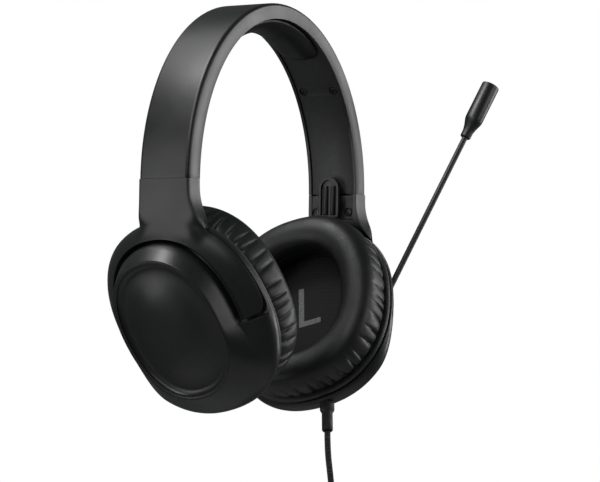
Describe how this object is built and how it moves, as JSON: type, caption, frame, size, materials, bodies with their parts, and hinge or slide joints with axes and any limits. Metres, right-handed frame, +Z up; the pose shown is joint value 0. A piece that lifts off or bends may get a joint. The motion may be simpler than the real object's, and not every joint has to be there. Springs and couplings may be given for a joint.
{
  "type": "gaming headset",
  "caption": "Over-ear wired gaming headset: arched padded headband, sliding arms with forked hoods, tilting oval ear cups, pleated cushions and a turning microphone boom.",
  "frame": {"origin": "middle of the underside of the headband pad, where the headset rests on a head", "axes": "+Z up through the crown, +X to the wearer's left ear, -Y to the wearer's front"},
  "size_m": [0.2243, 0.1032, 0.3293],
  "materials": {
    "satin_black": "satin moulded plastic",
    "matt_black": "fine-textured moulded plastic",
    "leatherette": "soft synthetic leather",
    "speaker_cloth": "open mesh cloth",
    "spring_steel": "polished spring steel",
    "black_screw": "black oxide",
    "soft_rubber": "matt",
    "braided_cord": "braided sleeve",
    "circuit_green": "lacquered board",
    "magnet": "plated",
    "driver_film": "thin film",
    "plug_contact": "gold plated"
  },
  "bodies": {
    "headband": {"headband_shell": "satin_black", "headband_inner_cover": "matt_black", "headband_spring": "spring_steel", "crossover_wire": "soft_rubber", "headband_pad": "leatherette", "left_cover_screw_front": "black_screw", "left_cover_screw_rear": "black_screw", "right_cover_screw_front": "black_screw", "right_cover_screw_rear": "black_screw", "right_slide_guide": "matt_black", "left_slide_guide": "matt_black"},
    "right_arm": {"right_yoke": "satin_black", "right_pivot_pin_front": "spring_steel", "right_pivot_pin_rear": "spring_steel", "right_arm_plate": "matt_black", "right_arm_screw_front": "black_screw", "right_arm_screw_rear": "black_screw", "right_slide_strip": "spring_steel", "right_cable_guide": "satin_black"},
    "right_cup": {"right_cup_shell": "satin_black", "right_cup_cap": "satin_black", "right_baffle": "matt_black", "right_cushion_plate": "matt_black", "right_speaker_cloth": "speaker_cloth", "right_ear_cushion": "leatherette", "right_driver_frame": "matt_black", "right_driver_film": "driver_film", "right_driver_magnet": "magnet"},
    "left_arm": {"left_yoke": "satin_black", "left_pivot_pin_front": "spring_steel", "left_pivot_pin_rear": "spring_steel", "left_arm_plate": "matt_black", "left_arm_screw_front": "black_screw", "left_arm_screw_rear": "black_screw", "left_slide_strip": "spring_steel", "left_cable_guide": "satin_black"},
    "left_cup": {"left_cup_shell": "satin_black", "left_cup_cap": "satin_black", "left_baffle": "matt_black", "left_cushion_plate": "matt_black", "left_speaker_cloth": "speaker_cloth", "left_ear_cushion": "leatherette", "left_driver_frame": "matt_black", "left_driver_film": "driver_film", "left_driver_magnet": "magnet", "circuit_board": "circuit_green", "volume_control": "matt_black", "mic_socket": "matt_black", "strain_relief": "soft_rubber", "cord": "braided_cord", "cord_coil": "braided_cord", "coil_tie": "soft_rubber", "cord_tail": "braided_cord", "plug_body": "soft_rubber", "plug_contacts": "plug_contact"},
    "mic_boom": {"mic_hub": "satin_black", "mic_boom_tube": "satin_black", "mic_housing": "satin_black", "mic_element": "magnet"},
    "volume_wheel": {"volume_wheel": "soft_rubber"}
  },
  "joints": [
    {"name": "right_arm_slide", "type": "slide", "parent": "headband", "child": "right_arm", "axis": [0, 0, -1], "range_m": [0, 0.02]},
    {"name": "right_cup_tilt", "type": "hinge", "parent": "right_arm", "child": "right_cup", "pos_m": [-0.05533, 0, -0.13747], "axis": [0.12, 0.9588, -0.2574], "range_deg": [0, 10]},
    {"name": "left_arm_slide", "type": "slide", "parent": "headband", "child": "left_arm", "axis": [0, 0, -1], "range_m": [0, 0.02]},
    {"name": "left_cup_tilt", "type": "hinge", "parent": "left_arm", "child": "left_cup", "pos_m": [0.05533, 0, -0.13747], "axis": [0.12, -0.9588, 0.2574], "range_deg": [0, 10]},
    {"name": "mic_boom_turn", "type": "hinge", "parent": "left_cup", "child": "mic_boom", "pos_m": [0.06897, -0.01443, -0.15292], "axis": [0.9063, 0, -0.4226], "range_deg": [-14, 110]},
    {"name": "volume_wheel_turn", "type": "hinge", "parent": "left_cup", "child": "volume_wheel", "pos_m": [0.04355, 0.02019, -0.1632], "axis": [0.9063, 0, -0.4226], "range_deg": [-140, 140]}
  ]
}
